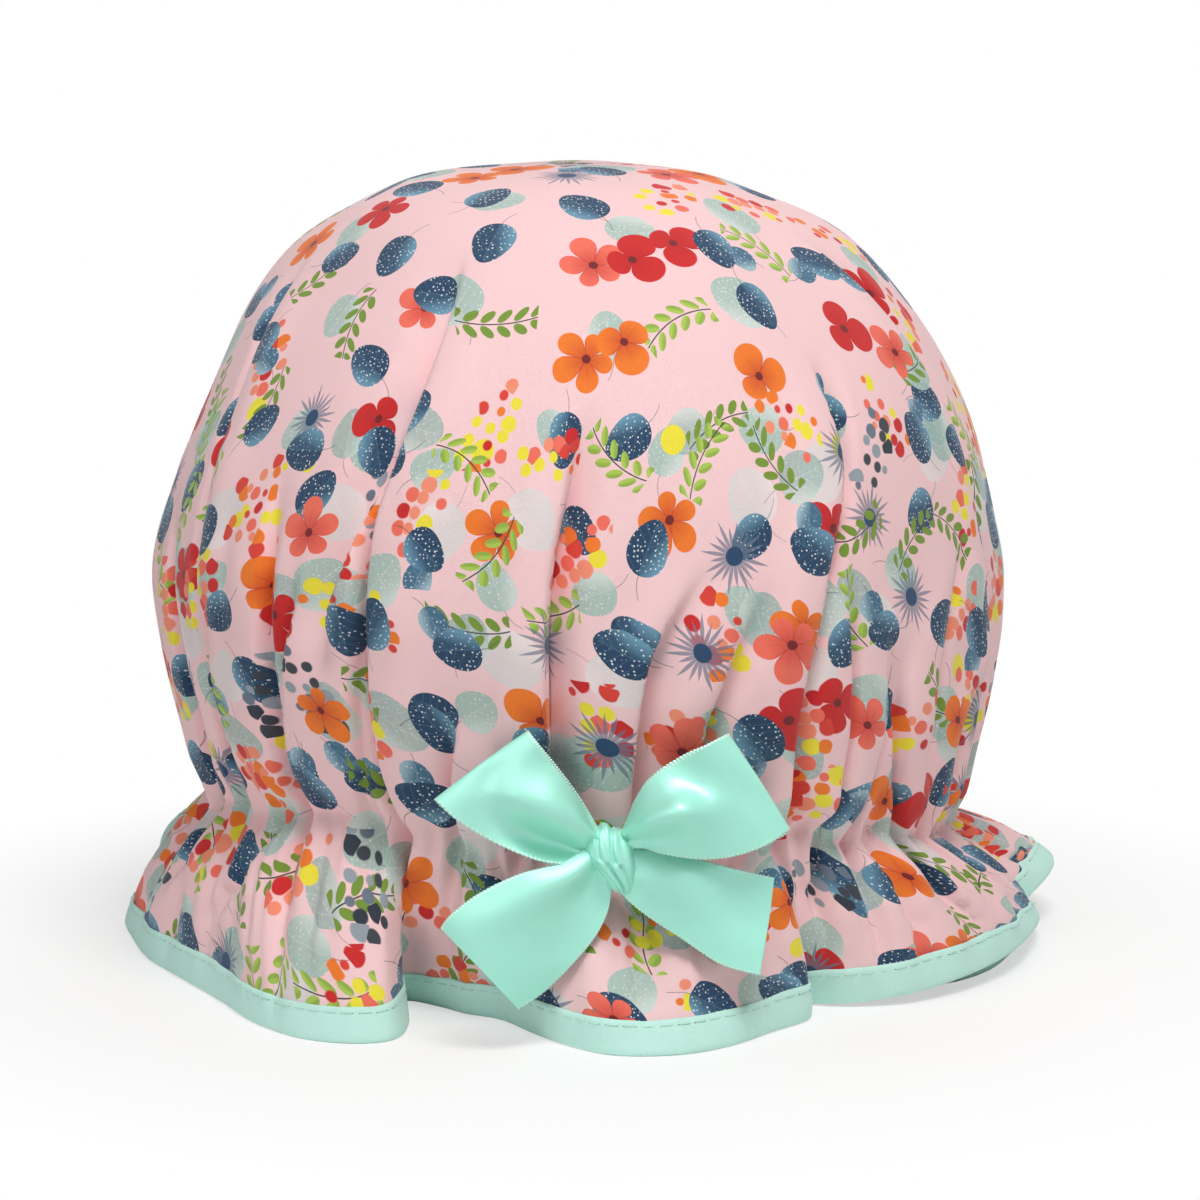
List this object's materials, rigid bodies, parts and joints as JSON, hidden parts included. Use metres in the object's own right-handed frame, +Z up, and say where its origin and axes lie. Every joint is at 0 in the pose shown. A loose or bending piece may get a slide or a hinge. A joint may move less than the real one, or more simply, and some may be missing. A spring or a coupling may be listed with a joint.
{
  "type": "shower cap",
  "caption": "Elasticated fabric shower cap with a waterproof lining, a bound frill round the hem and a satin bow at the front.",
  "frame": {"origin": "on the surface that the cap stands on, under the middle of the whole cap", "axes": "+Z up out of the crown, -Y out of the front where the bow is, +X to the right as seen from the front"},
  "size_m": [0.3126, 0.3024, 0.254],
  "materials": {
    "printed_cotton": "fine plain weave cotton, pale pink with a small floral print",
    "waterproof_lining": "thin coated nylon, soft sheen",
    "casing_tape": "matte cotton tape",
    "elastic": "braided white elastic",
    "white_thread": "polyester thread",
    "binding_cotton": "mint cotton bias binding",
    "mint_thread": "polyester thread",
    "satin_ribbon": "double faced mint satin ribbon with woven edges"
  },
  "bodies": {
    "cap": {"crown_cloth": "printed_cotton", "frill_cloth": "printed_cotton", "lining_crown": "waterproof_lining", "lining_frill": "waterproof_lining", "elastic_casing": "casing_tape", "elastic_band": "elastic", "casing_seam_upper": "white_thread", "casing_seam_lower": "white_thread", "hem_binding": "binding_cotton", "hem_seam": "mint_thread", "bow_knot": "satin_ribbon", "bow_tack": "mint_thread"},
    "loop_left": {"bow_loop_left": "satin_ribbon"},
    "loop_right": {"bow_loop_right": "satin_ribbon"},
    "tail_left": {"bow_tail_left": "satin_ribbon"},
    "tail_right": {"bow_tail_right": "satin_ribbon"}
  },
  "joints": [
    {"name": "loop_left_lift", "type": "hinge", "parent": "cap", "child": "loop_left", "pos_m": [-0.0032, -0.13705, 0.062], "axis": [0.4983, 0, 0.867], "range_deg": [0, 25], "stiffness_Nm_per_rad": 0.004},
    {"name": "loop_right_lift", "type": "hinge", "parent": "cap", "child": "loop_right", "pos_m": [0.0138, -0.13705, 0.067], "axis": [0.2589, 0, -0.9659], "range_deg": [0, 25], "stiffness_Nm_per_rad": 0.004},
    {"name": "tail_left_lift", "type": "hinge", "parent": "cap", "child": "tail_left", "pos_m": [-0.0017, -0.13705, 0.0473], "axis": [-0.6712, 0, 0.7413], "range_deg": [0, 70]},
    {"name": "tail_right_lift", "type": "hinge", "parent": "cap", "child": "tail_right", "pos_m": [0.0158, -0.13705, 0.05], "axis": [-0.4061, 0, -0.9138], "range_deg": [0, 70]}
  ]
}
